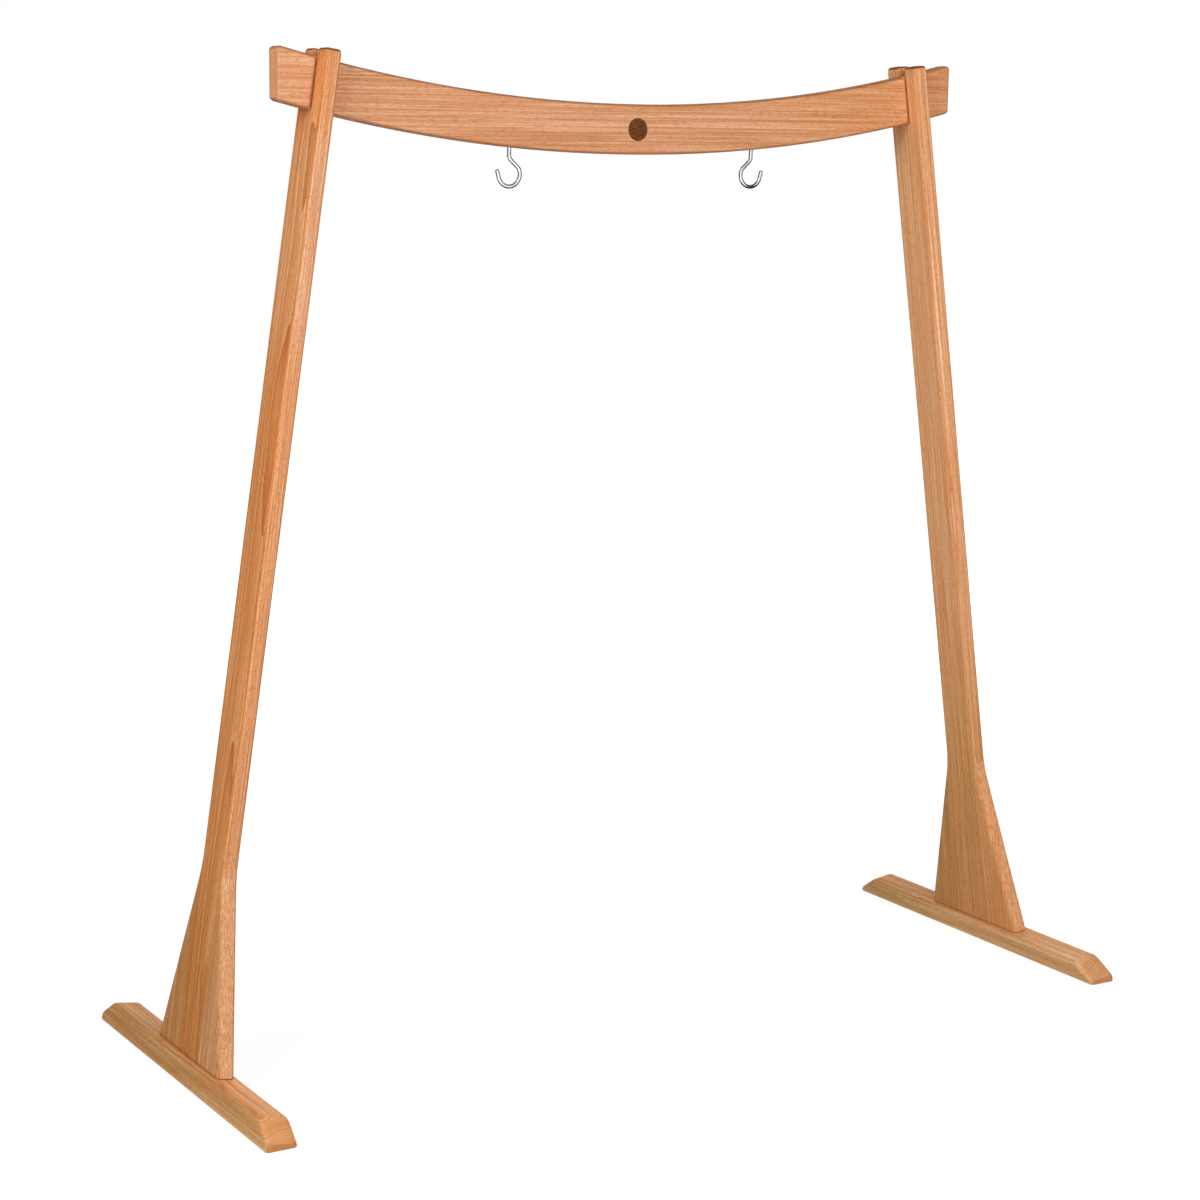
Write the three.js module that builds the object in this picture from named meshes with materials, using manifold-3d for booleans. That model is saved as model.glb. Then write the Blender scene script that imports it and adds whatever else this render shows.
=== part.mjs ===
// A wooden gong stand: two leaning trestles with forked tops, an arched crossbar that drops into the
// forks, and two screw hooks under the crossbar.
// Millimetres. +X runs along the crossbar, -Y is the front with the dark inlay, +Z is up.
// The origin lies on the floor, under the middle of the crossbar.

import * as THREE from 'three';
import { mergeVertices, toCreasedNormals } from 'three/addons/utils/BufferGeometryUtils.js';
import Module from 'manifold-3d';

const wasm = await Module();
wasm.setup();

// Stance of the two trestles
const legSpread = 1382;
const leanDegrees = 8.5;

// Feet
const footLength = 600;
const footWidth = 45;
const footHeight = 32;
const footEdgeRadius = 8;
const footSlopeRun = 37;
const footSlopeDrop = 24;
const footSlopeRadius = 22;
const footToeCornerRadius = 6;
const footToeEdgeRadius = 2;
const footArris = 1.2;

// Leg boards
const legThickness = 24;
const legDepth = 70;
const legEdgeRadius = 5;
const legTopInset = 4.6;
const legTopFall = 6.5;
const legSeatArris = 0.6;

// Gussets, glued to the front and back edge of each leg
const baseDepth = 214;
const kneeHeight = 263;
const kneeRadius = 180;
const gussetTip = 0.6;

// Fork at the top of each leg
const forkSlotWidth = 18;
const forkSlotDepth = 84;
const forkEdgeRadius = 3;

// Crossbar
const crossbarOverhang = 64;
const crossbarThickness = 24;
const crossbarHeight = 71;
const crossbarTopRadius = 2324;
const crossbarMiddleHeight = 1335.5;
const crossbarCornerRadius = 8.5;
const crossbarEdgeRadius = 5;
const housingEdgeRadius = 5;

// Round inlay in the front of the crossbar
const inlayDiameter = 32;
const inlayThickness = 2.7;

// Screw hooks
const hookSpacing = 407;
const hookWireDiameter = 5.8;
const hookRingRadius = 17.2;
const hookDrop = 36.8;
const hookNeckLength = 12;
const hookShankLength = 32;
const hookRingStartDegrees = 20;
const hookRingEndDegrees = -165;
const hookTipLength = 11.5;
const hookBendShare = 0.37;

// Bolts, washers and threaded inserts that hold each leg on its foot
const boltSpacing = 124;
const boltDiameter = 8;
const boltLength = 40;
const boltHeadDiameter = 13;
const boltHeadHeight = 8;
const washerDiameter = 16;
const washerThickness = 1.6;
const insertDiameter = 12;
const insertLength = 18;
const insertInset = 1;
const boltedWood = 14;
const counterboreDiameter = 18;

// Dowels that place each leg on its foot
const dowelSpacing = 40;
const dowelDiameter = 8;
const dowelLength = 30;

// Gaps between neighbouring pieces, and how far a cutting solid runs past what it cuts
const fitClearance = 0.3;
const cutOverrun = 5;

// Facet counts
const cornerSteps = 5;
const kneeSteps = 7;
const roundSides = 20;
const inlaySides = 48;
const archSteps = 32;
const hookSides = 12;
const hookSteps = 50;
const creaseDegrees = 30;

// Places worked out from the sizes
const lean = THREE.MathUtils.degToRad(leanDegrees);
const crossbarUnderRadius = crossbarTopRadius + crossbarHeight;
const archCentreHeight = crossbarMiddleHeight + crossbarTopRadius;
const seatThickness = forkSlotWidth - 2 * fitClearance;
const kneeAngle = Math.atan((baseDepth - legDepth) / 2 / kneeHeight);
const kneeTangent = kneeRadius * Math.tan(kneeAngle / 2);
const legSeatDistance = distanceToUnderside();
const legLength = legSeatDistance - fitClearance + forkSlotDepth;
const seatReach = legSpread / 2 - legSeatDistance * Math.sin(lean);
const gussetHeight = heightWhereWider(fitClearance + gussetTip);
const slopeAngle = Math.atan(footSlopeDrop / footSlopeRun);

// The length along a leg, from its foot to the curved underside of the crossbar
function distanceToUnderside() {
  const start = new THREE.Vector2(-legSpread / 2, footHeight - archCentreHeight);
  const along = new THREE.Vector2(Math.sin(lean), Math.cos(lean));
  const half = start.dot(along);
  return -half - Math.sqrt(half ** 2 - start.lengthSq() + crossbarUnderRadius ** 2);
}

// The height above the foot where a leg with its gussets is wider than the board by twice this much
function heightWhereWider(extra) {
  const arcGain = kneeRadius * (1 - Math.cos(kneeAngle));
  if (extra < arcGain) {
    return kneeHeight + kneeTangent - kneeRadius * Math.sin(Math.acos(1 - extra / kneeRadius));
  }
  return kneeHeight * (1 - extra / ((baseDepth - legDepth) / 2));
}

// The height of the crossbar's underside above the floor, at a place along it
function undersideHeight(x) {
  return archCentreHeight - Math.sqrt(crossbarUnderRadius ** 2 - x ** 2);
}

// Materials
function paint(color, roughness, metalness) {
  return new THREE.MeshStandardMaterial({ color, roughness, metalness });
}

const beech = () => paint('#d9986a', 0.5, 0);
const lightBeech = () => paint('#e3a67e', 0.5, 0);
const darkWood = () => paint('#5a3018', 0.45, 0);
const plainDowelWood = () => paint('#d8b07c', 0.6, 0);
const brightSteel = () => paint('#c9ccd0', 0.15, 1);
const zincSteel = () => paint('#a9adb0', 0.35, 1);

// Turns a closed geometry into a solid that can be cut, and back
function toSolid(geometry) {
  const bare = geometry.clone();
  bare.deleteAttribute('normal');
  bare.deleteAttribute('uv');
  const merged = mergeVertices(bare);
  const mesh = new wasm.Mesh({
    numProp: 3,
    vertProperties: Float32Array.from(merged.attributes.position.array),
    triVerts: Uint32Array.from(merged.index.array),
  });
  return new wasm.Manifold(mesh);
}

function toGeometry(solid) {
  const mesh = solid.getMesh();
  const geometry = new THREE.BufferGeometry();
  geometry.setAttribute('position', new THREE.BufferAttribute(mesh.vertProperties, 3));
  geometry.setIndex(new THREE.BufferAttribute(mesh.triVerts, 1));
  return geometry;
}

function cut(geometry, tools) {
  let solid = toSolid(geometry);
  for (const tool of tools) {
    solid = solid.subtract(toSolid(tool));
  }
  return toGeometry(solid);
}

function keepInside(geometry, tool) {
  return toGeometry(toSolid(geometry).intersect(toSolid(tool)));
}

function piece(name, geometry, material) {
  const shaded = toCreasedNormals(geometry, THREE.MathUtils.degToRad(creaseDegrees));
  const mesh = new THREE.Mesh(shaded, material);
  mesh.name = name;
  return mesh;
}

// Signed volume, which is negative when the faces point inward
function signedVolume(points, faces) {
  let sum = 0;
  const cross = new THREE.Vector3();
  for (const [a, b, c] of faces) {
    cross.crossVectors(points[b], points[c]);
    sum += points[a].dot(cross);
  }
  return sum / 6;
}

// Skins a row of closed outlines, all with as many points, and closes both ends.
// Outlines are drawn counter-clockwise, and place() puts an outline's point in space.
function loft(outlines, place) {
  const count = outlines[0].length;
  const points = outlines.flatMap((outline, row) => outline.map((point) => place(point, row)));
  const faces = [];
  for (let row = 0; row + 1 < outlines.length; row += 1) {
    for (let i = 0; i < count; i += 1) {
      const a = row * count + i;
      const b = row * count + ((i + 1) % count);
      faces.push([a, b, b + count], [a, b + count, a + count]);
    }
  }
  const last = (outlines.length - 1) * count;
  for (const [outline, first, isEnd] of [[outlines[0], 0, false], [outlines.at(-1), last, true]]) {
    for (const face of THREE.ShapeUtils.triangulateShape(outline, [])) {
      const isForward = THREE.ShapeUtils.area(face.map((i) => outline[i])) > 0;
      const [a, b, c] = face.map((i) => i + first);
      faces.push(isForward === isEnd ? [a, b, c] : [a, c, b]);
    }
  }
  if (signedVolume(points, faces) < 0) {
    faces.forEach((face) => face.reverse());
  }
  const geometry = new THREE.BufferGeometry().setFromPoints(points);
  geometry.setIndex(faces.flat());
  return geometry;
}

// A rectangle with round corners, about its middle
function roundedRectangle(halfX, halfY, radius) {
  const corners = [[1, 1], [-1, 1], [-1, -1], [1, -1]];
  return corners.flatMap(([signX, signY], quarter) => {
    const arc = [];
    for (let step = 0; step <= cornerSteps; step += 1) {
      const angle = (quarter + step / cornerSteps) * (Math.PI / 2);
      const x = signX * (halfX - radius) + radius * Math.cos(angle);
      const y = signY * (halfY - radius) + radius * Math.sin(angle);
      arc.push(new THREE.Vector2(x, y));
    }
    return arc;
  });
}

// How far a rounded edge has fallen back, this far into the round
function roundOver(radius, distance) {
  const into = THREE.MathUtils.clamp(distance, 0, radius);
  return radius - Math.sqrt(radius ** 2 - into ** 2);
}

// A box by its limits
function block(low, high) {
  const size = new THREE.Vector3().subVectors(high, low);
  const geometry = new THREE.BoxGeometry(size.x, size.y, size.z);
  const middle = new THREE.Vector3().addVectors(low, high).multiplyScalar(0.5);
  return geometry.translate(middle.x, middle.y, middle.z);
}

// An upright round rod that starts at a place and height
function rod(diameter, length, sides, y, z) {
  const geometry = new THREE.CylinderGeometry(diameter / 2, diameter / 2, length, sides);
  geometry.rotateX(Math.PI / 2);
  return geometry.translate(0, y, z + length / 2);
}

// A turned piece about an upright axis, from a profile of radii and heights
function turned(profile, y) {
  const points = profile.map(([radius, height]) => new THREE.Vector2(radius, height));
  const geometry = new THREE.LatheGeometry([...points, points[0]], roundSides);
  geometry.rotateX(Math.PI / 2);
  return geometry.translate(0, y, 0);
}

// Heights along a leg of what holds it, measured from the top of its foot
const washerTop = -boltedWood - fitClearance;
const boltHeadTop = washerTop - washerThickness - fitClearance;
const insertBottom = fitClearance + insertInset;
const insertHoleDiameter = insertDiameter + 2 * fitClearance;
const boltHoleDiameter = boltDiameter + 2 * fitClearance;
const dowelHoleDiameter = dowelDiameter + 2 * fitClearance;
const dowelHoleDepth = dowelLength / 2 + fitClearance;
const holeEnd = boltHeadTop + boltLength + fitClearance;

// A foot's upper outline: flat, then a rounded corner, then the slope to the toe
function footTopAt(distance) {
  const half = footLength / 2;
  const bend = half - footSlopeRun;
  const tangent = footSlopeRadius * Math.tan(slopeAngle / 2);
  const arcStart = bend - tangent;
  const arcEnd = bend + tangent * Math.cos(slopeAngle);
  let top = 0;
  if (distance > arcEnd) {
    top = -(distance - bend) * Math.tan(slopeAngle);
  } else if (distance > arcStart) {
    top = -roundOver(footSlopeRadius, distance - arcStart);
  }
  return top - roundOver(footToeEdgeRadius, distance - (half - footToeEdgeRadius));
}

// Stations along half a foot, from the middle to the toe
function footStations() {
  const half = footLength / 2;
  const tangent = footSlopeRadius * Math.tan(slopeAngle / 2);
  const arcStart = half - footSlopeRun - tangent;
  const stations = [];
  for (let step = 0; step <= cornerSteps; step += 1) {
    const angle = (step / cornerSteps) * slopeAngle;
    stations.push(arcStart + footSlopeRadius * Math.sin(angle));
  }
  for (let step = 0; step <= cornerSteps; step += 1) {
    const angle = (step / cornerSteps) * (Math.PI / 2);
    stations.push(half - footToeCornerRadius * (1 - Math.sin(angle)));
  }
  return stations;
}

// A foot's section at one station: square sides and a top with both long edges rounded
function footSection(distance) {
  const toeStart = footLength / 2 - footToeCornerRadius;
  const half = footWidth / 2 - roundOver(footToeCornerRadius, distance - toeStart);
  const top = footTopAt(distance);
  const low = -2 * footHeight;
  const section = [new THREE.Vector2(-half, low), new THREE.Vector2(half, low)];
  for (const sign of [1, -1]) {
    for (let step = 0; step <= cornerSteps; step += 1) {
      const share = sign > 0 ? step / cornerSteps : 1 - step / cornerSteps;
      const angle = share * (Math.PI / 2);
      const x = sign * (half - footEdgeRadius * (1 - Math.cos(angle)));
      const z = top - footEdgeRadius * (1 - Math.sin(angle));
      section.push(new THREE.Vector2(x, z));
    }
  }
  return section;
}

// What the floor and a narrow arris leave of a foot, in a frame with its origin on the foot's top
function footFloorLimit() {
  const halfX = footWidth / 2 / Math.cos(lean);
  const halfY = footLength / 2;
  const rows = [
    [-footHeight, -footArris],
    [-footHeight + 2 * footArris, footArris],
    [footHeight, footArris],
  ];
  const outlines = rows.map(([, grow]) => {
    return roundedRectangle(halfX + grow, halfY + grow, footToeCornerRadius + grow);
  });
  return loft(outlines, (point, row) => {
    const height = rows[row][0];
    return new THREE.Vector3(point.x + height * Math.tan(lean), point.y, height);
  });
}

function footHoles() {
  const holes = [];
  const below = -2 * footHeight - cutOverrun;
  for (const side of [-1, 1]) {
    const boltY = side * (boltSpacing / 2);
    const boreLength = -boltedWood - below;
    holes.push(rod(counterboreDiameter, boreLength, roundSides, boltY, below));
    holes.push(rod(boltHoleDiameter, cutOverrun - below, roundSides, boltY, below));
    const dowelY = side * (dowelSpacing / 2);
    holes.push(rod(dowelHoleDiameter, dowelHoleDepth + cutOverrun, roundSides, dowelY, -dowelHoleDepth));
  }
  return holes;
}

// A foot: its section stands square to the leaning leg, and its underside is planed flat on the floor
function foot() {
  const distances = footStations();
  const stations = [...distances.map((d) => -d).reverse(), ...distances];
  const outlines = stations.map((station) => footSection(Math.abs(station)));
  const bar = loft(outlines, (point, row) => new THREE.Vector3(point.x, stations[row], point.y));
  const drilled = cut(bar, footHoles());
  drilled.rotateY(lean);
  return keepInside(drilled, footFloorLimit());
}

// A leg with both gussets as one form, from the foot up: half its depth at each height
function legStations() {
  const halfLeg = legDepth / 2;
  const halfBase = baseDepth / 2;
  const low = fitClearance;
  const slope = (halfBase - halfLeg) / kneeHeight;
  const stations = [
    [low, halfBase - slope * low, legSeatArris],
    [low + legSeatArris, halfBase - slope * (low + legSeatArris), 0],
  ];
  for (let step = 0; step <= kneeSteps; step += 1) {
    const angle = kneeAngle * (1 - step / kneeSteps);
    const height = kneeHeight + kneeTangent - kneeRadius * Math.sin(angle);
    stations.push([height, halfLeg + kneeRadius * (1 - Math.cos(angle)), 0]);
  }
  for (let step = 0; step <= cornerSteps; step += 1) {
    const angle = (step / cornerSteps) * (Math.PI / 2);
    const height = legLength - legTopFall * (1 - Math.sin(angle));
    stations.push([height, halfLeg, legTopInset * (1 - Math.cos(angle))]);
  }
  return stations;
}

function legForm() {
  const stations = legStations();
  const outlines = stations.map(([, halfDepth, inset]) => {
    return roundedRectangle(legThickness / 2 - inset, halfDepth - inset, legEdgeRadius - inset);
  });
  return loft(outlines, (point, row) => new THREE.Vector3(point.x, point.y, stations[row][0]));
}

// The slot of the fork, with the leg's edges round it rounded over.
// Its floor follows the crossbar's underside.
function forkSlot() {
  const top = legLength;
  const seat = legSeatDistance - fitClearance;
  const tilt = lean - Math.asin(seatReach / crossbarUnderRadius);
  const edge = legThickness / 2;
  const xs = [-edge - cutOverrun];
  for (let step = 0; step <= cornerSteps; step += 1) {
    const angle = (step / cornerSteps) * (Math.PI / 2);
    xs.push(-edge + forkEdgeRadius * (1 - Math.cos(angle)));
  }
  xs.push(...xs.map((x) => -x).reverse());
  const heights = [seat];
  for (let step = 0; step <= cornerSteps; step += 1) {
    const angle = (step / cornerSteps) * (Math.PI / 2);
    heights.push(top - forkEdgeRadius * (1 - Math.sin(angle)));
  }
  heights.push(top + cutOverrun);
  const halfWidthAt = (x, z) => {
    const intoX = Math.max(0, Math.abs(x) - (edge - forkEdgeRadius));
    const intoZ = Math.max(0, z - (top - forkEdgeRadius));
    return forkSlotWidth / 2 + roundOver(forkEdgeRadius, Math.hypot(intoX, intoZ));
  };
  const outlines = heights.map((z) => {
    const near = xs.map((x) => new THREE.Vector2(x, -halfWidthAt(x, z)));
    const far = xs.map((x) => new THREE.Vector2(-x, halfWidthAt(x, z)));
    return [...near, ...far];
  });
  return loft(outlines, (point, row) => {
    const rise = row === 0 ? point.x * Math.tan(tilt) : 0;
    return new THREE.Vector3(point.x, point.y, heights[row] + rise);
  });
}

// The space beside the board that a gusset fills, at the back edge
function gussetSpace(gap) {
  const low = new THREE.Vector3(-legThickness, legDepth / 2 + gap, -cutOverrun);
  const high = new THREE.Vector3(legThickness, baseDepth, gussetHeight + fitClearance - gap);
  return block(low, high);
}

function dowelHolesInLeg() {
  return [-1, 1].map((side) => {
    const y = side * (dowelSpacing / 2);
    return rod(dowelHoleDiameter, dowelHoleDepth + cutOverrun, roundSides, y, -cutOverrun);
  });
}

function legPost() {
  const backSpace = gussetSpace(0);
  const frontSpace = gussetSpace(0).rotateZ(Math.PI);
  return cut(legForm(), [forkSlot(), backSpace, frontSpace, ...dowelHolesInLeg()]);
}

function gusset() {
  const blank = keepInside(legForm(), gussetSpace(fitClearance));
  const y = boltSpacing / 2;
  const insertHoleLength = insertLength + insertBottom + cutOverrun;
  const insertHole = rod(insertHoleDiameter, insertHoleLength, roundSides, y, -cutOverrun);
  const boltHole = rod(boltHoleDiameter, holeEnd + cutOverrun, roundSides, y, -cutOverrun);
  return cut(blank, [insertHole, boltHole]);
}

// A socket-head bolt, head down
function bolt(y) {
  const shank = boltDiameter / 2;
  const head = boltHeadDiameter / 2;
  const low = boltHeadTop - boltHeadHeight;
  const end = boltHeadTop + boltLength;
  const profile = [
    [0, low], [head, low], [head, boltHeadTop],
    [shank, boltHeadTop], [shank, end], [0, end],
  ];
  return turned(profile, y);
}

// A ring with a square section, which is a washer or a threaded insert
function collar(outerDiameter, innerDiameter, low, high, y) {
  const outer = outerDiameter / 2;
  const inner = innerDiameter / 2;
  return turned([[inner, low], [outer, low], [outer, high], [inner, high]], y);
}

// One trestle: a foot, a leaning forked leg, its two gussets and what holds them together.
// It is drawn as the left one, which leans towards +X; the right one is turned half round.
function trestle(side) {
  const isLeft = side === 'left';
  const standing = new THREE.Group();
  standing.position.set(isLeft ? -legSpread / 2 : legSpread / 2, 0, footHeight);
  standing.rotation.z = isLeft ? 0 : Math.PI;
  standing.add(piece(`${side}_foot`, foot(), beech()));

  const leaning = new THREE.Group();
  leaning.rotation.y = lean;
  standing.add(leaning);
  leaning.add(piece(`${side}_leg_post`, legPost(), beech()));

  for (const facing of ['front', 'back']) {
    const isBack = (facing === 'back') === isLeft;
    const sign = isBack ? 1 : -1;
    const wedge = piece(`${side}_${facing}_gusset`, gusset(), lightBeech());
    wedge.rotation.z = isBack ? 0 : Math.PI;
    leaning.add(wedge);

    const boltY = sign * (boltSpacing / 2);
    const washerLow = washerTop - washerThickness;
    const insertTop = insertBottom + insertLength;
    const washer = collar(washerDiameter, boltHoleDiameter, washerLow, washerTop, boltY);
    const insert = collar(insertDiameter, boltHoleDiameter, insertBottom, insertTop, boltY);
    leaning.add(piece(`${side}_${facing}_bolt`, bolt(boltY), zincSteel()));
    leaning.add(piece(`${side}_${facing}_washer`, washer, zincSteel()));
    leaning.add(piece(`${side}_${facing}_insert`, insert, zincSteel()));

    const dowelY = sign * (dowelSpacing / 2);
    const dowel = rod(dowelDiameter, dowelLength, roundSides, dowelY, -dowelLength / 2);
    leaning.add(piece(`${side}_${facing}_dowel`, dowel, plainDowelWood()));
  }
  return standing;
}

// The crossbar's front outline, drawn in by an inset: two arcs about one centre and two plumb ends
function crossbarOutline(inset) {
  const end = seatReach + crossbarOverhang - inset;
  const corner = crossbarCornerRadius - inset;
  const topRadius = crossbarTopRadius + inset;
  const underRadius = crossbarUnderRadius - inset;
  const cornerX = end - corner;
  const topReach = Math.asin(cornerX / (topRadius + corner));
  const underReach = Math.asin(cornerX / (underRadius - corner));
  const topCornerZ = archCentreHeight - (topRadius + corner) * Math.cos(topReach);
  const underCornerZ = archCentreHeight - (underRadius - corner) * Math.cos(underReach);
  const outline = [];
  const addArc = (centreX, centreZ, radius, from, to, steps) => {
    for (let step = 0; step <= steps; step += 1) {
      const angle = from + (to - from) * (step / steps);
      const x = centreX + radius * Math.cos(angle);
      outline.push(new THREE.Vector2(x, centreZ + radius * Math.sin(angle)));
    }
  };
  const down = -Math.PI / 2;
  addArc(0, archCentreHeight, underRadius, down - underReach, down + underReach, archSteps);
  outline.pop();
  addArc(cornerX, underCornerZ, corner, down + underReach, 0, cornerSteps);
  addArc(cornerX, topCornerZ, corner, 0, Math.PI / 2 + topReach, cornerSteps);
  outline.pop();
  addArc(0, archCentreHeight, topRadius, down + topReach, down - topReach, archSteps);
  outline.pop();
  addArc(-cornerX, topCornerZ, corner, Math.PI / 2 - topReach, Math.PI, cornerSteps);
  addArc(-cornerX, underCornerZ, corner, -Math.PI, down - underReach, cornerSteps);
  outline.pop();
  return outline;
}

function crossbarBlank() {
  const half = crossbarThickness / 2;
  const rows = [];
  for (let step = 0; step <= cornerSteps; step += 1) {
    const angle = (step / cornerSteps) * (Math.PI / 2);
    const depth = half - crossbarEdgeRadius * (1 - Math.sin(angle));
    rows.push([depth, crossbarEdgeRadius * (1 - Math.cos(angle))]);
  }
  const allRows = [...rows.map(([depth, inset]) => [-depth, inset]).reverse(), ...rows];
  const outlines = allRows.map(([, inset]) => crossbarOutline(inset));
  return loft(outlines, (point, row) => new THREE.Vector3(point.x, allRows[row][0], point.y));
}

// The cutting solid of one housing: its walls follow the leg's faces and roll over at the mouth
function housingCutter(side, facing) {
  const wall = legThickness / 2 + fitClearance;
  const face = crossbarThickness / 2;
  const radius = housingEdgeRadius;
  const seat = seatThickness / 2;
  const roll = face - radius;
  const start = Math.asin(THREE.MathUtils.clamp((seat - roll) / radius, 0, 1));
  const floorHalf = wall + radius * (1 - Math.cos(start));
  const mouth = wall + radius;
  const shape = new THREE.Shape();
  shape.moveTo(-floorHalf, seat);
  shape.lineTo(floorHalf, seat);
  shape.absarc(mouth, roll, radius, Math.PI - start, Math.PI / 2, true);
  shape.lineTo(mouth, face + cutOverrun);
  shape.lineTo(-mouth, face + cutOverrun);
  shape.absarc(-mouth, roll, radius, Math.PI / 2, start, true);
  const depth = 3 * crossbarHeight;
  const options = { depth, bevelEnabled: false, curveSegments: cornerSteps };
  const cutter = new THREE.ExtrudeGeometry(shape, options);
  cutter.translate(0, 0, legSeatDistance + crossbarHeight / 2 - depth / 2);
  cutter.rotateZ(facing === 'back' ? 0 : Math.PI);
  cutter.rotateY(side === 'left' ? lean : -lean);
  const x = side === 'left' ? -legSpread / 2 : legSpread / 2;
  return cutter.translate(x, 0, footHeight);
}

function inlayHeight() {
  return crossbarMiddleHeight - crossbarHeight / 2;
}

// A short cylinder that starts at the crossbar's front face, or before it, and runs back
function frontDisc(diameter, front, thickness) {
  const geometry = new THREE.CylinderGeometry(diameter / 2, diameter / 2, thickness, inlaySides);
  return geometry.translate(0, front + thickness / 2, inlayHeight());
}

function crossbar() {
  const tools = [];
  for (const side of ['left', 'right']) {
    for (const facing of ['front', 'back']) {
      tools.push(housingCutter(side, facing));
    }
  }
  const front = -crossbarThickness / 2;
  const recessDepth = inlayThickness + fitClearance;
  const recessDiameter = inlayDiameter + 2 * fitClearance;
  tools.push(frontDisc(recessDiameter, front - cutOverrun, recessDepth + cutOverrun));
  for (const sign of [-1, 1]) {
    const x = sign * (hookSpacing / 2);
    const low = undersideHeight(x) - cutOverrun;
    const depth = hookShankLength + fitClearance + cutOverrun;
    const hole = rod(hookWireDiameter + 2 * fitClearance, depth, roundSides, 0, low);
    tools.push(hole.translate(x, 0, 0));
  }
  return cut(crossbarBlank(), tools);
}

// The round part of a hook, about its middle in the XZ plane
class RingArc extends THREE.Curve {
  constructor(centre, radius, from, to) {
    super();
    this.centre = centre;
    this.radius = radius;
    this.from = from;
    this.to = to;
  }

  getPoint(share, target = new THREE.Vector3()) {
    const angle = this.from + (this.to - this.from) * share;
    const x = this.radius * Math.cos(angle);
    const z = this.radius * Math.sin(angle);
    return target.set(x, 0, z).add(this.centre);
  }
}

// A screw hook: shank, neck, ring and tip, with the shank's axis at x = 0 and the underside at z = 0
function hook() {
  const from = THREE.MathUtils.degToRad(hookRingStartDegrees);
  const to = THREE.MathUtils.degToRad(hookRingEndDegrees);
  const ring = new RingArc(new THREE.Vector3(0, 0, -hookDrop), hookRingRadius, from, to);
  const shankTop = new THREE.Vector3(0, 0, hookShankLength);
  const neckTop = new THREE.Vector3(0, 0, -hookNeckLength);
  const ringStart = ring.getPoint(0);
  const ringEnd = ring.getPoint(1);
  const intoRing = new THREE.Vector3(Math.sin(from), 0, -Math.cos(from));
  const outOfRing = new THREE.Vector3(Math.sin(to), 0, -Math.cos(to));
  const reach = hookRingRadius * hookBendShare;
  const neckHandle = new THREE.Vector3(0, 0, -hookNeckLength - reach);
  const ringHandle = ringStart.clone().addScaledVector(intoRing, -reach);
  const tip = ringEnd.clone().addScaledVector(outOfRing, hookTipLength);
  const path = new THREE.CurvePath();
  path.add(new THREE.LineCurve3(shankTop, neckTop));
  path.add(new THREE.CubicBezierCurve3(neckTop, neckHandle, ringHandle, ringStart));
  path.add(ring);
  path.add(new THREE.LineCurve3(ringEnd, tip));
  const section = new THREE.Shape();
  section.absarc(0, 0, hookWireDiameter / 2, 0, 2 * Math.PI, false);
  return new THREE.ExtrudeGeometry(section, {
    extrudePath: path,
    steps: hookSteps,
    curveSegments: hookSides / 2,
  });
}

function hangers() {
  const group = new THREE.Group();
  for (const side of ['left', 'right']) {
    const x = side === 'left' ? -hookSpacing / 2 : hookSpacing / 2;
    const mesh = piece(`${side}_hook`, hook(), brightSteel());
    mesh.position.set(x, 0, undersideHeight(x));
    mesh.rotation.z = side === 'left' ? 0 : Math.PI;
    group.add(mesh);
  }
  return group;
}

const stand = new THREE.Group();
stand.add(trestle('left'), trestle('right'));
stand.add(piece('crossbar', crossbar(), beech()));
const inlay = frontDisc(inlayDiameter, -crossbarThickness / 2, inlayThickness);
stand.add(piece('round_inlay', inlay, darkWood()));
stand.add(hangers());

export default stand;
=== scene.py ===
# %% [markdown]
# # A wooden gong stand
# The stand is four boards of beech and an arched bar. Two legs lean towards each other on long feet,
# and their forked tops hold a crossbar whose housings lock it in place. A gong hangs from two hooks.
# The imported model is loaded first, as the fixed frame that every piece has to fit.

# %% Load the model
import math
import bmesh
import bpy
from mathutils import Matrix, Vector


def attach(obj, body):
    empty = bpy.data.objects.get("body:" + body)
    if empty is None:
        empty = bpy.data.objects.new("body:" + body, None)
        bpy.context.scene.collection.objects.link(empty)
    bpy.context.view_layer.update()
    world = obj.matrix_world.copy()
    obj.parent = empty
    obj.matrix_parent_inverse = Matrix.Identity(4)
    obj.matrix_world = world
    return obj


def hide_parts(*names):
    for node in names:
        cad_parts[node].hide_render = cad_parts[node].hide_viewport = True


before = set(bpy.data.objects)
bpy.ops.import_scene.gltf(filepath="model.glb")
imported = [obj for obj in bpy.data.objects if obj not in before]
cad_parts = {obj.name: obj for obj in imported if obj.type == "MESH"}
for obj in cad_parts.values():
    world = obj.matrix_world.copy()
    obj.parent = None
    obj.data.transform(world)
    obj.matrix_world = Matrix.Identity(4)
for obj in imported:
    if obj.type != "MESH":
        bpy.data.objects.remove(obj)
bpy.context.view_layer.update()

# %% [markdown]
# ## Sizes
# A maker's drawing has only a few sizes on it, and everything else follows from them. They are kept
# here in metres, one name for each, so that a change is made in one place.

# %% Driving sizes
mm = 0.001

leg_spread = 1382 * mm
lean = math.radians(8.5)

foot_length = 600 * mm
foot_width = 45 * mm
foot_height = 32 * mm
foot_edge_radius = 8 * mm
foot_slope_run = 37 * mm
foot_slope_drop = 24 * mm
foot_slope_radius = 22 * mm
foot_toe_corner_radius = 6 * mm
foot_toe_edge_radius = 0.8 * mm
foot_arris = 1.2 * mm

leg_thickness = 24 * mm
leg_depth = 70 * mm
leg_edge_radius = 5 * mm
leg_top_inset = 4.6 * mm
leg_top_fall = 6.5 * mm
leg_seat_arris = 1.0 * mm

base_depth = 214 * mm
knee_height = 263 * mm
knee_radius = 180 * mm
gusset_tip = 0.4 * mm
glue_line = 0.1 * mm

fork_slot_width = 18 * mm
fork_slot_depth = 84 * mm
fork_edge_radius = 3 * mm

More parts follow.
